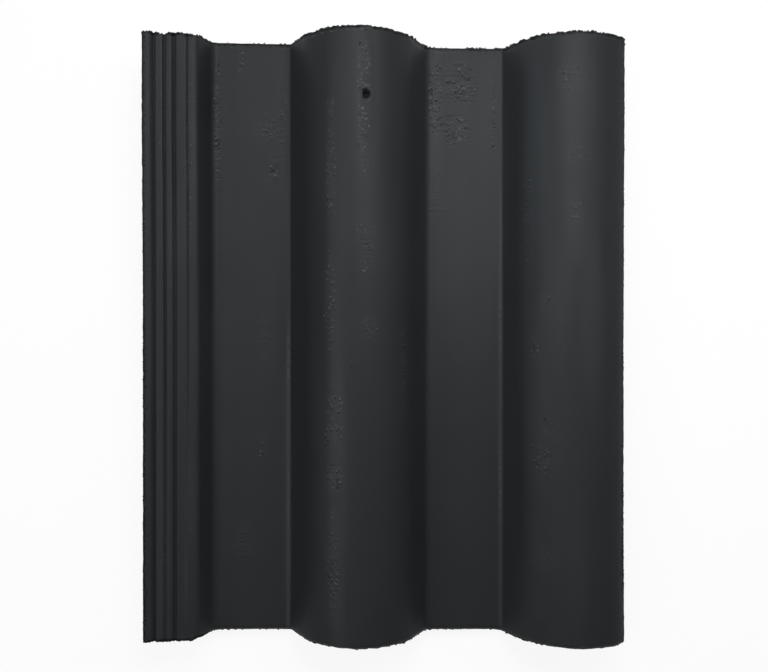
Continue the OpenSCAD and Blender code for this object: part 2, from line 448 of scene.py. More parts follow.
wear = {  # millimetres unless it says otherwise
    # by the names of the tree's inputs
    "lengths": {
        "End Inset": 0.5,
        "Side Inset": 0.35,
        "End Crumble": 1.3,
        "Side Crumble": 0.5,
        "Crumble Reach": 6.0,
        "Crumb Size": 3.2,
        "Head Wear": 0.6,  # how much more the head edge has lost
        "Left Waist": 0.55,  # how far a side draws in away from its ends
        "Right Waist": 0.5,
        "Head Flare": 0.3,  # how much wider the head is, at each side
        "Nose Fade": 6.0,
        "Arris Reach": 4.0,  # width of the strip that is marked along an end or a side
        "Wave": 0.35,
        "Wave Size": 70.0,
        "Dent": 0.16,
        "Dent Size": 9.0,
        "Streak": 0.07,
        "Streak Width": 5.0,
        "Sunk": 0.12,  # how far the whole face lies inside its nominal place
        "Grit Radius": 1.15,
        "Grit Rise": 0.35,  # how far the middle of a grain lies outside the face
        "Grit Drop": 0.65,  # and below it
        "Grit Tail Sunk": 0.8,  # how much less it rises at the rolls' tail
        "Grit Tail Reach": 10.0,
        "Grit End Reach": 0.6,  # how far from a worn end or side grains are found
        "Grit Side Reach": 2.5,
        "Grit Held Reach": 3.0,  # how far from a side they hardly rise
        "Grit Big Reach": 6.0,  # how far from an end they have their full size
    },
    "tailFoot": 0.3,  # share of an end's crumbling that is left at its foot
    "headFoot": 0.35,
    "endHeights": (4.0, 26.0),  # height of that foot, and of the full crumbling above it
    "headWearShares": (0.6, 1.5, 0.7),  # of it everywhere, at the underlap and on the last roll
    "underlapFrom": (2.0, -12.0),  # from the foot of the underlap's flank
    "lastRollFrom": (-72.0, -52.0),  # from the right side
    "leftWaistFrom": (140.0, -20.0),  # places where it has yet to begin, and where it is full
    "rightWaistFrom": (160.0, -30.0),
    "rightWaistTo": (-215.0, -130.0),
    "flareFrom": (100.0, 150.0),
    "leftAcross": (-114.0, -122.0),
    "rightAcross": (120.0, 160.0),
    "grooveMargin": 0.2,
    "groovesRunOut": (60.0, -160.0),
    "streakDraw": 0.06,  # how much a streak is drawn out along the tile, as a ratio
    "boreStretch": (0.95, 1.16),  # the nail hole's width and length, as shares of its diameter
    "gritPerSquareMetre": 1800000.0,
    "gritSpread": (0.45, 1.0),  # least and greatest share of that radius
    "gritRollHeights": (26.0, 34.0),
    "gritPanSunk": 0.45,  # share of that in the pans
    "gritHeldShare": 0.9,
    "gritSideSize": 0.55,  # share of it elsewhere
    "gritFoot": 0.2,  # share of the grains at the foot of an end
    "gritSideShare": 0.3,
    "gritLowRightShare": 0.5,  # added on the right side towards the tail
    "gritLowRightFrom": (-70.0, -130.0),
    "gritFacing": (0.38, 0.54),  # upward part of the normal where they sit: its middle and spread
    "clumpsPerMetre": 160.0,
    "clumpStart": 0.36,
    "clumpSteepness": 4.0,
    "seed": 4,
    # places where an end has lost more: middle across, half width, depth
    "headChips": [
        (-153, 6, 0.6), (-129, 9, 0.5), (-47, 8, 0.6), (-11, 4, -0.8), (21, 6, -0.6), (54, 26, 0.35),
        (97, 12, 0.6), (122, 6, 0.6), (153, 11, 0.7),
    ],
    "tailChips": [
        (-126, 5, 1.2), (-117, 4, -0.4), (-38, 20, 0.4), (15, 8, -0.4), (90, 10, -1.1), (118, 14, 0.4),
        (157, 6, -0.4),
    ],
    # places of the face: middle across and along, half width, half length, strength
    "roughSteepness": 1.2,
    "roughPatches": [
        (37, 167, 6, 36, 1.1), (55, 178, 16, 20, 0.85), (51, 146, 13, 15, 0.85), (78.5, 156, 3, 42, 0.7),
        (39, 94, 9, 15, 0.38), (51, 54, 10, 12, 0.2), (-12.4, 150, 6.5, 56, 0.75), (-11, 60, 8, 32, 0.5),
        (-9, 5, 8, 10, 0.65), (13.7, -23, 3, 38, 0.65), (-34.7, 111, 4.5, 50, 0.95),
        (-34.7, 24, 4.5, 45, 1.2), (-32.7, -60, 9.5, 52, 0.45), (-33.3, -154, 6, 45, 0.95),
        (-71, 158, 4.5, 46, 0.45), (-99.7, 194, 5, 13, 0.5), (-81, 146, 14, 15, 0.45),
        (-77, 116, 8, 16, 0.55), (-80, 43, 11, 18, 0.25), (-82.7, -6, 9, 30, 0.35),
        (-85.5, -76, 4, 24, 0.4), (-99, -148, 9, 28, 0.35), (-116.7, 150, 3.5, 60, 0.8),
        (-116.7, 43, 3, 32, 0.35), (-132, 100, 4, 105, 0.55), (-152, 154, 10, 60, 0.4),
        (-144, 65, 4, 45, 0.4), (-150, -142, 3.5, 55, 0.45), (-131, -112, 4.5, 45, 0.4),
        (98.6, 85, 4.5, 60, 0.65), (109, 23, 5, 12, 0.65), (103, -8, 4, 16, 0.7), (107, -70, 13, 38, 0.42),
        (107, -84, 7, 16, 0.7), (110, -149, 9, 11, 0.55), (124, 171, 12, 15, 0.5), (128, 122, 10, 12, 0.5),
        (127, 85, 6, 16, 0.6), (150, 203, 12, 5, 1.5), (24, 203, 8, 4, 0.9), (-10, 205, 5, 4, 1.0),
        (-12, 184, 5.5, 18, 1.3), (-35, 152, 4, 9, 1.3), (-31, -45, 7, 8, 1.1), (-33, -66, 8, 9, 1.2),
        (-32.5, -95, 8, 11, 1.2),
    ],
    # painted light and shade: added up, paler where light is painted on, and less than nothing where shade is
    # painted on
    "paintedLightShadeSteepness": 1.3,
    "paintedLightShadePatches": [
        (103, 60, 11, 240, 0.3), (118, 90, 12, 120, 0.14), (78, 120, 14, 110, 0.16), (52, 60, 22, 70, 0.08),
        (31, 60, 5, 210, 0.1), (-152, -170, 8, 170, 0.18), (-143, 150, 16, 70, -0.13),
        (-120, 110, 6, 110, -0.12), (-114, 0, 7, 320, 0.15), (-70, 20, 5, 70, -0.08),
        (-68, 160, 4, 70, -0.14), (-48, 20, 8, 240, -0.1), (-30, -110, 7, 150, 0.26),
        (-29, 110, 8, 110, 0.12), (3, 150, 9, 100, -0.12), (38, 150, 6, 60, 0.24), (60, 35, 26, 70, 0.12),
        (78, 10, 9, 90, 0.06), (139, 15, 9, 70, 0.2), (-39, 20, 5, 120, -0.2), (-124, -60, 6, 190, 0.08),
        (-120, -185, 9, 40, 0.1), (-134.6, -120, 1.3, 90, 0.14), (101, -165, 10, 50, 0.16),
        (129, -150, 8, 60, 0.12), (-10, 165, 6, 60, -0.28), (-67, -100, 5, 90, 0.12),
        (128, 68, 8, 25, 0.15), (-157, 0, 5, 60, 0.12), (-124, 178, 9, 40, -0.15),
        (-134.6, -170, 1.4, 40, 0.2), (-39, 155, 5, 60, -0.12), (147, 120, 7, 110, -0.12),
        (104, 130, 7, 80, 0.1), (116, 20, 7, 60, 0.1), (-67, -165, 4, 40, 0.12), (38, 60, 6, 170, 0.1),
        (52, 120, 16, 90, 0.08), (-130, 65, 4, 50, -0.1),
    ],
}


def tileTree(s, w, values):
    tree = bpy.data.node_groups.new("tileBlank", "GeometryNodeTree")
    flow = Flow(tree)
    kinds = {float: "Float", int: "Int", bpy.types.Object: "Object", bpy.types.Material: "Material"}
    ids = {}
    for name, value in values.items():
        kind = "NodeSocket" + kinds[type(value)]
        ids[name] = tree.interface.new_socket(name=name, in_out="INPUT", socket_type=kind).identifier
    tree.interface.new_socket(name="Tile", in_out="OUTPUT", socket_type="NodeSocketGeometry")
    group = flow.node("NodeGroupInput")

    def given(name):
        return flow.out(group, name)

    def between(value, limits, start=0.0):
        # 0 at the first limit and 1 at the second, in millimetres from the start
        return flow.band(value, start + limits[0] * mm, start + limits[1] * mm)

    def store(geometry, name, value):
        made = flow.node("GeometryNodeStoreNamedAttribute", {"data_type": "FLOAT", "domain": "POINT"},
                         Geometry=geometry, Name=name, Value=value)
        return flow.out(made)

    def moved(geometry, **how):
        return flow.out(flow.node("GeometryNodeSetPosition", Geometry=geometry, **how))

    def formOf(name):
        return flow.out(flow.node("GeometryNodeObjectInfo", Object=given(name)), "Geometry")

    # a block whose faces are wrapped on the section
    outline = formOf("Outline")
    block = flow.node("GeometryNodeMeshCube", Size=(1, 1, 1), Vertices_X=given("Across"),
                      Vertices_Y=given("Along"), Vertices_Z=given("Through"))
    blockX, blockY, blockZ = flow.parts(flow.out(flow.node("GeometryNodeInputPosition")))
    depth = blockZ + 0.5
    skinned = store(flow.out(block, "Mesh"), "skin", depth)
    column = flow.math("ROUND", (blockX + 0.5) * (given("Across") - 1))
    row = flow.math("ROUND", (blockY + 0.5) * (given("Along") - 1))

    def sample(index):
        where = flow.out(flow.node("GeometryNodeInputPosition"))
        made = flow.node("GeometryNodeSampleIndex", {"data_type": "FLOAT_VECTOR", "domain": "POINT"},
                         Geometry=outline, Index=index)
        flow.feed(made.inputs["Value"], where)
        return flow.out(made)

    under = sample(column)
    top = sample(column + given("Across"))
    y = flow.parts(sample(row + given("Across") * 2))[1]
    topX = flow.parts(top)[0]

    # the head edge runs out of square, taken up over the last stretch
    half, side = given("Length") / 2, given("Width") / 2

    def headLine(across):
        return half - given("Head Slope") * (across + side)

    headY = headLine(topX)
    bend = given("Head Bend")
    past = flow.math("MAXIMUM", y - bend, 0.0)
    y = flow.math("MINIMUM", y, bend) + past * (headY - bend) / (half - bend)

    # the nose of the tail edge and the bevel of the head edge
    roundness = 1.7
    nose = flow.clamp(1 - (y + half) / given("Nose Back")) ** roundness
    nose = nose * flow.band(topX, given("Nose Start") - given("Nose Fade"), given("Nose Start"))
    bevel = flow.clamp(1 - (headY - y) / given("Head Bevel")) ** roundness
    cutDown = flow.vector(0, 0, nose * given("Nose Drop") + bevel * given("Head Bevel"))
    blend = flow.node("ShaderNodeMix", {"data_type": "VECTOR"}, Factor=depth)
    flow.feed(blend.inputs[4], under)
    flow.feed(blend.inputs[5], top - cutDown)
    x, _, z = flow.parts(flow.out(blend, 1))
    flare = given("Head Flare") * between(y, w["flareFrom"])
    leftWaist = given("Left Waist") * between(y, w["leftWaistFrom"])
    x = x + between(x, w["leftAcross"]) * (leftWaist - flare) + between(x, w["rightAcross"]) * flare

    # grooves that run out towards the tail
    land = given("Land Height") - (x + side) * given("Land Fall")
    sunkBelow = flow.clamp(land - nose * given("Nose Drop") - z)
    filled = 0
    for middle, width, _, left in s["grooves"]:
        inside = abs(x + side - middle * mm) < (width / 2 + w["grooveMargin"]) * mm
        filled = filled + inside * (1 - left)
    onTopLayer = depth > 0.99
    z = z + filled * between(y, w["groovesRunOut"]) * sunkBelow * onTopLayer
    wrapped = moved(skinned, Position=flow.vector(x, y, z))

    # worn ends and sides, always inwards
    here = flow.out(flow.node("GeometryNodeInputPosition"))
    x, y, z = flow.parts(here)
    seed = given("Seed")
    toTail, toHead = y + half, headLine(x) - y
    toLeft, toRight = x + side, side - x
    crumbShift = seed * 7.31
    crumb = 1 / given("Crumb Size")
    apart = 0.05  # so that opposite edges don't crumble alike

    def crumble(where):
        coarse = flow.noise((where + crumbShift) * crumb, 1.0, 3.0, 0.62)
        return flow.clamp((coarse - 0.32) * 2.4)

    def fade(distance):
        return flow.clamp(1 - distance / given("Crumble Reach"))

    def chipped(chips):
        lost = 0
        for middle, reach, deep in chips:
            lost = lost + flow.clamp(1 - ((x - middle * mm) / (reach * mm)) ** 2) * (deep * mm)
        return lost

    height = between(z, w["endHeights"])
    onUnderlap = between(x, w["underlapFrom"], given("Nose Start"))
    onLastRoll = between(x, w["lastRollFrom"], side)
    everywhere, atUnderlap, atLastRoll = w["headWearShares"]
    headWear = given("Head Wear") * (everywhere + atUnderlap * onUnderlap + atLastRoll * onLastRoll)
    tailCrumble = given("End Crumble") * crumble(flow.vector(x, 0, z))
    headCrumble = given("End Crumble") * crumble(flow.vector(x, apart, z))
    tailAmount = given("End Inset") + tailCrumble * flow.rising(w["tailFoot"], height)
    tailAmount = tailAmount + chipped(w["tailChips"])
    headAmount = given("End Inset") + headCrumble * flow.rising(w["headFoot"], height) + headWear
    headAmount = headAmount + chipped(w["headChips"])
    leftAmount = given("Side Inset") + given("Side Crumble") * crumble(flow.vector(0, y, z))
    leftWaist = given("Left Waist") * between(y, w["leftWaistFrom"])
    rightWaist = given("Right Waist") * between(y, w["rightWaistFrom"]) * between(y, w["rightWaistTo"])
    rightAmount = given("Side Inset") + given("Side Crumble") * crumble(flow.vector(apart, y, z)) + rightWaist
    fromLeft = toLeft - leftWaist
    worn = flow.vector(leftAmount * fade(fromLeft) - rightAmount * fade(toRight),
                       tailAmount * fade(toTail) - headAmount * fade(toHead), 0)
    crumbled = moved(wrapped, Offset=worn)

    # slow waves, dents and streaks of the face, along its normal
    normal = flow.out(flow.node("GeometryNodeInputNormal"))
    wave = flow.noise(here / given("Wave Size") + seed, 1.0, 1.0) - 0.5
    dent = flow.noise(here / given("Dent Size") + seed, 1.0, 3.0, 0.6) - 0.5
    streakWhere = flow.vector(x, y * w["streakDraw"], z) / given("Streak Width")
    streak = flow.noise(streakWhere + seed, 1.0, 2.0) - 0.5
    lift = wave * given("Wave") + dent * given("Dent") + streak * given("Streak")
    lift = flow.math("MINIMUM", lift - given("Sunk"), 0.0)
    relieved = moved(crumbled, Offset=normal * lift)

    # hanging nibs joined on, and the nail hole taken out
    joined = flow.node("GeometryNodeMeshBoolean", {"operation": "UNION", "solver": "EXACT"})
    flow.feed(joined.inputs["Mesh 2"], formOf("Nibs"))
    flow.feed(joined.inputs["Mesh 2"], relieved)
    bored = flow.node("GeometryNodeMeshBoolean", {"operation": "DIFFERENCE", "solver": "EXACT"})
    flow.feed(bored.inputs["Mesh 1"], flow.out(joined, "Mesh"))
    flow.feed(bored.inputs["Mesh 2"], formOf("Nail Bore"))
    solid = flow.out(bored, "Mesh")

    # marks for the finish: how rough the face is, where light and shade are painted on, and how near the
    # broken arrises are
    def patched(patches, joining, steepness):
        whole = 0
        for middleX, middleY, halfWidth, halfLength, strength in patches:
            across = (x - middleX * mm) / (halfWidth * mm)
            along = (y - middleY * mm) / (halfLength * mm)
            one = flow.clamp((1 - across * across - along * along) * steepness) * strength
            whole = flow.math(joining, whole, one)
        return whole

    tailEdge, headEdge = toTail - tailAmount, toHead - headAmount
    leftEdge, rightEdge = fromLeft - leftAmount, toRight - rightAmount
    arris = given("Arris Reach")
    tailMark = flow.rising(0.82, height) * (1 + 0.1 * height - tailEdge / arris)
    headMark = 1.2 - 0.1 * height - headEdge / arris
    sideMark = flow.math("MAXIMUM", 1 - (leftEdge - given("Left Lean")) / arris,
                         1 - (rightEdge - given("Right Lean")) / arris)
    skin = flow.out(flow.node("GeometryNodeInputNamedAttribute", {"data_type": "FLOAT"}, Name="skin"))
    onTop = flow.band(skin, 0.5, 0.95)
    marks = {
        "rough": onTop * patched(w["roughPatches"], "MAXIMUM", w["roughSteepness"]),
        "pale": onTop * patched(w["paintedLightShadePatches"], "ADD", w["paintedLightShadeSteepness"]),
        "endArris": flow.clamp(flow.math("MAXIMUM", tailMark, headMark)),
        "sideArris": flow.clamp(sideMark),
    }
    for name, value in marks.items():
        solid = store(solid, name, value)

    # grit that stands out of the broken arrises, in clumps
    atEnd = flow.math("MINIMUM", tailEdge, headEdge) < given("Grit End Reach")
    atSide = flow.math("MINIMUM", leftEdge, rightEdge) < given("Grit Side Reach")
    facing, facingSpread = w["gritFacing"]
    outward = abs(flow.parts(normal)[2] - facing) < facingSpread
    nearTop = skin > 0.92
    sideShare = w["gritSideShare"] + w["gritLowRightShare"] * (x > 0) * between(y, w["gritLowRightFrom"])
    broken = flow.math("MAXIMUM", atEnd * flow.rising(w["gritFoot"], height), atSide * sideShare)
    clump = flow.noise(here * w["clumpsPerMetre"] + seed, 1.0, 1.0) - w["clumpStart"]
    clump = flow.clamp(clump * w["clumpSteepness"])
    points = flow.node("GeometryNodeDistributePointsOnFaces", {"distribute_method": "RANDOM"}, Mesh=solid,
                       Density=given("Grit Density") * broken * outward * nearTop * clump, Seed=seed)
    ball = flow.node("GeometryNodeMeshIcoSphere", Radius=1.0, Subdivisions=1)
    # grains are marked as lying at an end's arris, so the finish darkens them too
    grain = store(flow.out(ball, "Mesh"), "endArris", 1.0)
    sizes = flow.node("FunctionNodeRandomValue", {"data_type": "FLOAT_VECTOR"}, Seed=seed)
    for socket, size in zip(sizes.inputs, w["gritSpread"]):
        socket.default_value = (size, size, size)
    turns = flow.node("FunctionNodeRandomValue", {"data_type": "FLOAT_VECTOR"}, Seed=seed + 1)
    turns.inputs[1].default_value = (math.tau, math.tau, math.tau)
    held = w["gritHeldShare"] * (flow.math("MINIMUM", fromLeft, toRight) < given("Grit Held Reach"))
    tailSunk = given("Grit Tail Sunk") * (toTail < given("Grit Tail Reach"))
    tailSunk = tailSunk * flow.rising(w["gritPanSunk"], between(z, w["gritRollHeights"]))
    rise = flow.out(points, "Normal") * (given("Grit Rise") * (1 - held) - tailSunk)
    bedded = moved(flow.out(points, "Points"), Offset=rise - flow.vector(0, 0, given("Grit Drop")))
    bigShare = flow.rising(w["gritSideSize"], flow.math("MINIMUM", toTail, toHead) < given("Grit Big Reach"))
    grit = flow.node("GeometryNodeInstanceOnPoints", Points=bedded, Instance=grain,
                     Rotation=flow.out(turns), Scale=flow.out(sizes) * given("Grit Radius") * bigShare)

    join = flow.node("GeometryNodeJoinGeometry")
    flow.feed(join.inputs[0], flow.out(grit))
    flow.feed(join.inputs[0], solid)
    laid = flow.node("GeometryNodeTransform", Geometry=flow.out(join), Translation=lay.translation[:],
                     Rotation=(lean, 0, 0))
    whole = flow.node("GeometryNodeRealizeInstances", Geometry=flow.out(laid))
    smooth = flow.node("GeometryNodeSetShadeSmooth", Geometry=flow.out(whole))
    finished = flow.node("GeometryNodeSetMaterial", Geometry=flow.out(smooth), Material=given("Finish"))
    output = flow.node("NodeGroupOutput")
    flow.feed(output.inputs[0], flow.out(finished))
    return tree, ids


def newMesh(name, verts, faces):
    mesh = bpy.data.meshes.new(name)
    mesh.from_pydata(verts, [], faces)
    mesh.validate()
    return newObject(name, mesh)


def newObject(name, data):
    made = bpy.data.objects.new(name, data)
    bpy.context.scene.collection.objects.link(made)
    return made


def makeOutline():
    # the section's points under and above, then the stations, in metres
    points = [(p.x * mm, 0, p.y * mm) for p in section.under + section.top]
    points += [(0, y * mm, 0) for y in stations]
    return newMesh("outline", points, [])


def makeNibs(s):
    # two blocks to hang the tile by, their edges rounded over
    form = bmesh.new()
    nibY = s["length"] / 2 - s["nibSetback"]
    bedded, root, tip, deep = 1.0, s["nibRoot"], s["nibTip"], -s["nibDepth"]
    profile = [(0, bedded), (root, bedded), (root, 0), (tip, deep), (0, deep)]
    for centre in (section.lapRoll, section.first):
        ends = []
        for hand in (-1, 1):
            x = centre + s["pitch"] / 2 + hand * s["nibWidth"] / 2
            corners = [(x * mm, (nibY + y) * mm, (z - s["shell"]) * mm) for y, z in profile]
            ends.append([form.verts.new(corner) for corner in corners])
        form.faces.new(ends[0])
        form.faces.new(ends[1][::-1])
        for i in range(len(profile)):
            j = (i + 1) % len(profile)
            form.faces.new((ends[0][j], ends[0][i], ends[1][i], ends[1][j]))
    bmesh.ops.recalc_face_normals(form, faces=form.faces)
    mesh = bpy.data.meshes.new("nibs")
    form.to_mesh(mesh)
    form.free()
    made = newObject("nibs", mesh)
    rounding = made.modifiers.new("rounding", "BEVEL")
    rounding.width = s["nibRounding"] * mm
    rounding.segments = 3
    return made


def makeBore(s, w):
    # a slightly uneven pin that the nail hole is cut with
    rng = random.Random(w["seed"])
    rings, count, beyond = 9, 36, 6
    wide, long = w["boreStretch"]
    low, high = s["rollHeight"] - s["shell"] - beyond, s["rollHeight"] + beyond
    verts, faces = [], []
    for ring in range(rings + 1):
        z = low + (high - low) * ring / rings
        for i in range(count):
            angle = math.tau * i / count
            uneven = 1 + 0.07 * math.sin(3 * angle + 0.6) + 0.04 * math.sin(5 * angle + ring)
            radius = s["nailHole"] / 2 * (uneven + rng.uniform(-0.04, 0.04))
            verts.append(((nailLocal.x / mm + wide * radius * math.cos(angle)) * mm,
                          (nailLocal.y / mm + long * radius * math.sin(angle)) * mm, z * mm))
    for ring in range(rings):
        for i in range(count):
            j = (i + 1) % count
            a, b = ring * count, (ring + 1) * count
            faces.append((a + i, a + j, b + j, b + i))
    faces.append(tuple(range(count))[::-1])
    faces.append(tuple(range(rings * count, (rings + 1) * count)))
    return newMesh("nailBore", verts, faces)


def makeTile(s, w, material):
    outline, nibs, bore = makeOutline(), makeNibs(s), makeBore(s, w)
    blank = newMesh("blank", [(0, 0, 0)], [])
    values = {name: length * mm for name, length in w["lengths"].items()}
    values.update({
        "Outline": outline, "Nibs": nibs, "Nail Bore": bore, "Finish": material, "Seed": w["seed"],
        "Across": len(section.top), "Along": len(stations), "Through": spacing["layers"],
        "Length": s["length"] * mm,
        "Width": section.width * mm,
        "Land Height": s["underlapHeight"] * mm,
        "Land Fall": tan(s["underlapFall"]),
        "Left Lean": (section.top[0].x + section.side) * mm,
        "Right Lean": (section.side - section.top[-1].x) * mm,
        "Head Slope": tan(s["headSkew"]),
        "Head Bend": (s["length"] / 2 - s["nibSetback"] + s["nibRoot"]) * mm,
        "Head Bevel": s["headBevel"] * mm,
        "Nose Start": section.lapFoot * mm,
        "Nose Back": s["noseBack"] * mm,
        "Nose Drop": s["noseDrop"] * mm,
        "Grit Density": w["gritPerSquareMetre"],
    })
    tree, ids = tileTree(s, w, values)
    modifier = blank.modifiers.new("tile", "NODES")
    modifier.node_group = tree
    for name, value in values.items():
        modifier[ids[name]] = value
    view = bpy.context.evaluated_depsgraph_get()
    mesh = bpy.data.meshes.new_from_object(blank.evaluated_get(view), depsgraph=view)
    mesh.name = "roof_tile"
    made = newObject("roof_tile", mesh)
    for spare in (outline, nibs, bore, blank):
        bpy.data.objects.remove(spare)
    return made


finish = {  # millimetres unless it says otherwise
    "coat": (0.0264, 0.0294, 0.0318),  # colours are linear
    "bare": (0.040, 0.043, 0.045),
    # worn concrete, also the colour of the painted highlights on grains and in the creases
    "worn": (0.075, 0.080, 0.084),
    # near black: painted shade in the pits and on the grains' tail sides, and the darkening of broken arrises
    "paintedShadeColour": (0.006, 0.0065, 0.007),
    "boreWall": (0.2, 0.2, 0.2),
    "specular": 0.15,
    "coatRoughness": 0.5,
    "grainRoughness": 0.3,  # where the coating has run over a grain
    "bareRoughness": 0.85,
    "unevenRoughness": 0.16,
    "coatedFrom": (0.02, 0.25),  # upward part of the normal, from bare to coated
    "plainTone": 0.86,  # share of the colour that is the same all over
    "cloudTone": 0.20,
    "cloudSize": 45.0,
    "grainTone": 0.08,
    "grainSize": 1.3,
    "paleWhereRough": 0.2,
    "raggedSize": 9.0,
    "raggedness": 1.5,
    "warpSize": 2.2,  # grains and pits are drawn out of round by this
    "warp": 3.6,
    "panBelow": (6.0, 2.0),  # heights between which the pans' stronger relief sets in
    "grainPitch": 2.5,
    "grainRadius": 1.1,
    "grainLean": 0.45,  # how far apart a grain's painted highlight and painted shade lie, by half
    "grainHeight": 0.5,
    "grainShare": 0.75,  # share of the places of their grid that grains and pits take
    "paintedLitSides": (1.3, 1.7),  # how strongly a grain's head side is painted pale as a highlight, and how much more so in a pan
    # how strongly a grain's tail side is painted dark as shade, and how much more so in a pan
    "paintedShadedSides": (1.1, 1.1),
    "pitPitch": 5.0,
    "pitRadius": 1.3,
    "pitDepth": 0.5,
    "pitShare": 0.35,
    "pitShareElsewhere": 0.004,
    # how dark the pits are painted, as the shade in them
    "pitPaintedShade": 0.3,
    "ripplePitch": 2.2,  # drag marks across the rough places
    "rippleLength": 10.0,
    "rippleBend": 1.5,
    "rippleHeight": 0.6,
    # how strongly the drag marks' ridges are painted pale and their hollows dark, as their light and shade
    "rippleLightAndShade": 1.6,
    "burrSetback": 1.5,  # the burr in each crease, raised and painted pale as a highlight, and where it begins below the head
    "burrWidth": 1.8,
    "burrFrom": (35.0, 130.0),
    "burrRunIn": 60.0,
    "burrLeast": 0.45,
    "burrHeight": 0.4,
    # how strongly the burr's painted highlight lightens the colour
    "burrHighlightTone": 0.7,
    "endRagged": (0.9, 0.8),  # how ragged the limit of an end's marks is, least and more so in places
    "sideRagged": 1.2,
    "endBroken": (0.64, 0.72),  # mark at which an end's arris begins to be darkened, and is fully
    "sideBroken": (0.60, 0.68),
    "endScuffed": (0.25, 0.45),
    "sideScuffed": (0.35, 0.5),
    "sideScuff": 0.35,
    "scuffTone": 0.9,
    "brokenDarkening": 0.95,
    "brokenFace": 0.45,  # share of that tone on faces that look sideways
    "fineHeight": 0.03,
    "coarseHeight": 0.05,
    "coarseSize": 3.5,
}


def newMaterial(name):
    made = bpy.data.materials.new(name)
    made.use_nodes = True
    return made, Flow(made.node_tree), made.node_tree.nodes["Principled BSDF"]


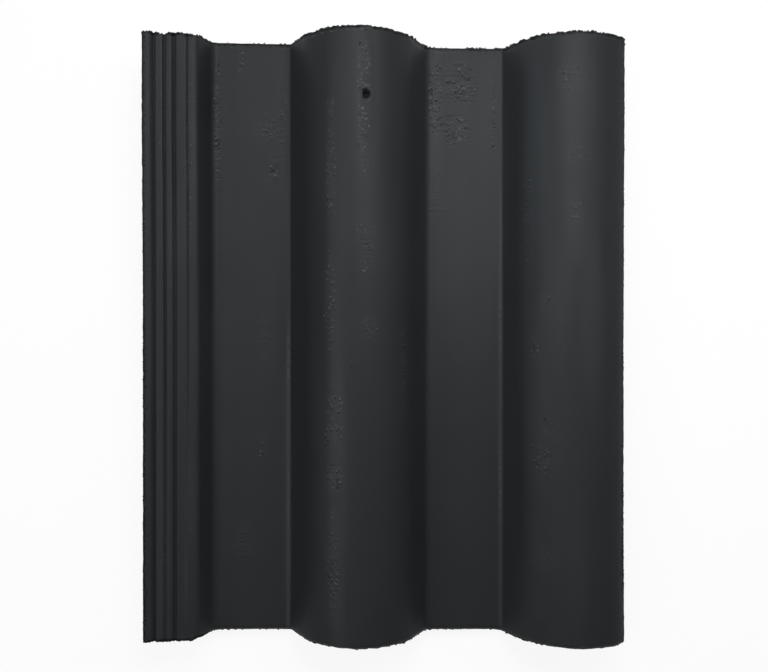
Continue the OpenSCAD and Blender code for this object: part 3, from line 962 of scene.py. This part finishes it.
def coatedConcrete(f):
    material, flow, shader = newMaterial("coatedConcrete")
    shader.inputs["Specular IOR Level"].default_value = f["specular"]

    # the tile's own frame, in millimetres
    coordinates = flow.node("ShaderNodeTexCoord")
    turned = flow.node("ShaderNodeMapping", {"vector_type": "TEXTURE"},
                       Vector=flow.out(coordinates, "Object"), Location=lay.translation[:],
                       Rotation=(lean, 0, 0))
    place = flow.out(turned) / mm
    x, y, z = flow.parts(place)
    faceUp = flow.parts(flow.out(coordinates, "Normal"))[2]
    coated = flow.band(faceUp, *f["coatedFrom"])
    inPan = flow.band(z, *f["panBelow"])

    def noise(where, size, detail=2.0, roughness=0.5):
        return flow.noise(where, 1 / size, detail, roughness)

    def mark(name):
        return flow.out(flow.node("ShaderNodeAttribute", {"attribute_name": name}), "Fac")

    def mix(low, high, share):
        made = flow.node("ShaderNodeMix", {"data_type": "RGBA"}, Factor=share)
        for socket, value in ((made.inputs[6], low), (made.inputs[7], high)):
            flow.feed(socket, value if isinstance(value, Wire) else (*value, 1))
        return flow.out(made, 2)

    cloud = noise(place, f["cloudSize"], 3.0, 0.55)
    grain = noise(place, f["grainSize"], 2.0, 0.6)
    roughMark = mark("rough")

    # rough places, with ragged limits
    ragged = noise(place + 40, f["raggedSize"], 3.0, 0.6)
    rough = flow.band(roughMark + (ragged - 0.5) * f["raggedness"], 0.35, 0.7)
    rough = rough * flow.band(roughMark, 0.0, 0.15)

    # grains and pits, scattered there and drawn out of round
    warp = flow.node("ShaderNodeTexNoise", Vector=place, Scale=1 / f["warpSize"], Detail=1.0)
    warped = place + (flow.out(warp, "Color") - 0.5) * f["warp"]

    def domes(shift, pitch, radius, share, lean=0.0):
        # rounded spots, some fainter than others, at a share of the places of a scattered grid
        where = warped + shift - flow.vector(0, lean, 0)
        cell = flow.node("ShaderNodeTexVoronoi", Vector=where / pitch, Scale=1.0)
        chance, strength, _ = flow.parts(flow.out(cell, "Color"))
        dome = flow.clamp(1 - (flow.out(cell, "Distance") * pitch / radius) ** 2) ** 1.5
        return dome * (chance < share) * (0.4 + 0.6 * strength)

    def grainSide(lean):
        return domes(17, f["grainPitch"], f["grainRadius"], f["grainShare"] * rough, lean)

    # each grain's head side is painted pale as a highlight and its tail side dark as shade
    headSides, tailSides = grainSide(f["grainLean"]), grainSide(-f["grainLean"])
    grains = 0.5 * (headSides + tailSides)
    paintedLitSides, paintedShadedSides = flow.clamp(headSides - tailSides), flow.clamp(tailSides - headSides)
    pits = domes(61, f["pitPitch"], f["pitRadius"], f["pitShare"] * rough + f["pitShareElsewhere"])

    # drag marks, raised on their ridges, which the colour also paints paler there and darker in the hollows
    # as their light and shade
    bent = y / f["ripplePitch"] + f["rippleBend"] * noise(place + 5, 9.0, 1.0)
    ripples = noise(flow.vector(x / f["rippleLength"], bent, z / f["rippleLength"]), 1.0, 2.0)
    ripples = (ripples - 0.5) * flow.band(roughMark, 0.1, 0.6) * flow.rising(0.35, inPan)

    # the burr in the crease at the right of each pan, raised and painted pale as a highlight
    burrWithHighlight = 0
    for centre, start in zip((section.first, section.last), f["burrFrom"]):
        crease = centre - section.reach(0, 0) - f["burrSetback"]
        line = flow.clamp(1 - abs(x - crease) / f["burrWidth"])
        burrWithHighlight = burrWithHighlight + line * flow.band(y, start, start - f["burrRunIn"])
    patchy = flow.band(noise(place + 90, 3.2, 2.0, 0.6), 0.42, 0.6)
    heavier = flow.band(noise(place + 120, 45.0, 1.0), 0.4, 0.6)
    burrWithHighlight = burrWithHighlight * (f["burrLeast"] + (1 - f["burrLeast"]) * patchy * heavier)

    # broken arrises darkened, and scuffed arrises, with ragged limits
    jagged = noise(place + 25, 1.5, 1.0) - 0.5
    endMark, sideMark = mark("endArris"), mark("sideArris")
    least, more = f["endRagged"]
    ends = endMark + (least + more * heavier) * jagged * flow.band(endMark, 0.0, 0.3)
    sides = sideMark + f["sideRagged"] * jagged * flow.band(sideMark, 0.0, 0.3)
    broken = flow.clamp(flow.band(ends, *f["endBroken"]) + flow.band(sides, *f["sideBroken"]))
    broken = broken * flow.rising(f["brokenFace"], coated)
    scuffed = flow.band(ends, *f["endScuffed"]) + f["sideScuff"] * flow.band(sides, *f["sideScuffed"])
    scuffed = flow.clamp(scuffed) * (1 - broken)

    # colour
    tone = mix(f["bare"], f["coat"], coated)
    shade = f["plainTone"] + f["cloudTone"] * cloud + f["grainTone"] * grain
    # patches of painted light and shade, and the drag marks' painted light and shade, lighten and darken the
    # colour here
    shade = shade * (1 + mark("pale") + f["paleWhereRough"] * roughMark + f["rippleLightAndShade"] * ripples)
    scaled = flow.node("ShaderNodeVectorMath", {"operation": "SCALE"}, Scale=shade)
    flow.feed(scaled.inputs[0], tone)
    plain, inPans = f["paintedLitSides"]
    # painted highlights on the creases' burrs and on the grains' head sides, and pale scuffs of wear on the
    # arrises
    highlightAndScuff = burrWithHighlight * f["burrHighlightTone"] + paintedLitSides * (plain + inPans * inPan)
    highlightAndScuff = highlightAndScuff + scuffed * flow.band(jagged, 0.02, 0.14) * heavier * f["scuffTone"]
    tone = mix(flow.out(scaled), f["worn"], flow.clamp(highlightAndScuff))
    plain, inPans = f["paintedShadedSides"]
    # painted shade in the pits and on the grains' tail sides, and the darkening of broken arrises
    shadeAndDarkArris = pits * f["pitPaintedShade"] + paintedShadedSides * (plain + inPans * inPan) + broken * f["brokenDarkening"]
    tone = mix(tone, f["paintedShadeColour"], flow.clamp(shadeAndDarkArris))
    offAxis = (x - nailLocal.x / mm) ** 2 + (y - nailLocal.y / mm) ** 2
    inBore = offAxis < (tileSizes["nailHole"] / 2 + 1) ** 2
    inBore = inBore * flow.band(abs(faceUp), 0.5, 0.3)
    flow.feed(shader.inputs["Base Color"], mix(tone, f["boreWall"], inBore))

    # gloss
    roughness = f["bareRoughness"] + coated * (f["coatRoughness"] - f["bareRoughness"])
    roughness = roughness + f["unevenRoughness"] * (grain - 0.5)
    raised = flow.clamp((grains + pits) * 3) * coated
    roughness = roughness + raised * (f["grainRoughness"] - f["coatRoughness"])
    flow.feed(shader.inputs["Roughness"], roughness)

    # relief
    height = f["fineHeight"] * grain + f["coarseHeight"] * noise(place, f["coarseSize"], 2.0)
    height = height + f["grainHeight"] * grains * flow.rising(0.5, inPan) - f["pitDepth"] * pits
    height = height + f["rippleHeight"] * ripples + f["burrHeight"] * burrWithHighlight
    bump = flow.node("ShaderNodeBump", Strength=1.0, Distance=mm, Height=height)
    flow.feed(shader.inputs["Normal"], flow.out(bump))
    return material


tile = makeTile(tileSizes, wear, coatedConcrete(finish))
print("tile:", len(tile.data.vertices), "points,",
      sum(len(p.vertices) - 2 for p in tile.data.polygons), "triangles")
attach(tile, "root")
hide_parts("tile")

studio = {
    "floorSize": 3.0,  # metres
    "floorGap": 0.0003,
    "floorColour": (0.86, 0.86, 0.86),
    "shadeUnderTile": 0.4,  # share of that colour right under the tile, a painted shade
    "underReach": 0.02,  # metres inside the tile's outline over which it fades
    "glow": 1.05,
    "whiteShare": 0.85,
    "contactReach": 0.35,  # metres around the tile where its gloss sees less of the floor's white
    "world": 0.1,
    # azimuth from the head edge towards the right, elevation, distance, width, strength
    "lamps": {
        "headPanel": (0, 60, 0.72, 0.3, 0.335),
        "headRightPanel": (35, 60, 0.72, 0.3, 0.281),
        "rightPanel": (70, 40, 0.72, 0.3, 0.092),
        "leftPanel": (-90, 45, 1.2, 0.5, 0.148),
        "highLeftPanel": (-90, 65, 2.5, 1.1, 0.114),
    },
    "aim": 0.03,  # metres above the middle of the ground
}


def lightRays(flow, glossShare):
    # 1 for rays that see the backdrop, straight or by way of gloss and glass
    path = flow.node("ShaderNodeLightPath")
    mirrored = flow.math("MAXIMUM", flow.out(path, "Is Glossy Ray"), flow.out(path, "Is Transmission Ray"))
    return flow.math("MAXIMUM", flow.out(path, "Is Camera Ray"), mirrored * glossShare)


def makeFloor(st):
    low, high = cadBox
    reach, level = st["floorSize"] / 2, low.z - st["floorGap"]
    floor = newMesh("floor", [(-reach, -reach, level), (reach, -reach, level), (reach, reach, level),
                              (-reach, reach, level)], [(0, 1, 2, 3)])
    material, flow, shader = newMaterial("paleFloor")
    flow.tree.nodes.remove(shader)
    x, y, _ = flow.parts(flow.out(flow.node("ShaderNodeTexCoord"), "Object"))
    beside = flow.math("MAXIMUM", abs(x) - high.x, abs(y) - high.y)
    clear = flow.band(beside, -st["underReach"], 0.0)
    # the floor's colour, darkened right under the tile as a painted shade
    pale = flow.vector(*st["floorColour"]) * flow.rising(st["shadeUnderTile"], clear)
    lit = flow.node("ShaderNodeBsdfDiffuse", Color=pale)
    white = flow.node("ShaderNodeEmission", Color=(1, 1, 1, 1), Strength=st["glow"])
    share = lightRays(flow, flow.band(beside, 0.0, st["contactReach"])) * st["whiteShare"] * clear
    mixed = flow.node("ShaderNodeMixShader", Fac=share)
    flow.feed(mixed.inputs[1], flow.out(lit))
    flow.feed(mixed.inputs[2], flow.out(white))
    flow.feed(flow.tree.nodes["Material Output"].inputs["Surface"], flow.out(mixed))
    floor.data.materials.append(material)


def makeWorld(st):
    world = bpy.data.worlds.new("studio")
    bpy.context.scene.world = world
    world.use_nodes = True
    flow = Flow(world.node_tree)
    background = world.node_tree.nodes["Background"]
    background.inputs["Color"].default_value = (1, 1, 1, 1)
    seen = flow.out(flow.node("ShaderNodeLightPath"), "Is Camera Ray")
    flow.feed(background.inputs["Strength"], st["world"] + seen * (1 - st["world"]))


def makeLamps(st):
    # discs aimed at the tile, each of which lights a white face turned to it to its strength
    target = Vector((0, 0, st["aim"]))
    for name, (azimuth, elevation, distance, width, strength) in st["lamps"].items():
        lamp = bpy.data.lights.new(name, "AREA")
        lamp.shape = "DISK"
        lamp.size = width
        lamp.energy = strength * (math.pi * distance) ** 2
        made = newObject(name, lamp)
        a, e = math.radians(azimuth), math.radians(elevation)
        away = Vector((math.sin(a) * math.cos(e), math.cos(a) * math.cos(e), math.sin(e)))
        made.location = target + away * distance
        made.rotation_euler = away.to_track_quat("Z", "Y").to_euler()
        made.visible_camera = False


view = {
    "height": 0.621,  # metres above the pans
    "lens": 41.1,
    "shift": (0.0017, -0.0005),
}


def makeCamera(v):
    # looks straight down on the tile's own plane
    lens = bpy.data.cameras.new("camera")
    lens.lens = v["lens"]
    lens.shift_x, lens.shift_y = v["shift"]
    camera = newObject("camera", lens)
    camera.matrix_world = lay @ Matrix.Translation((0, 0, v["height"]))
    bpy.context.scene.camera = camera


makeFloor(studio)
makeWorld(studio)
makeLamps(studio)
print("stage and lamps ready")
makeCamera(view)
bpy.context.scene.view_settings.view_transform = "Standard"
print("camera ready")
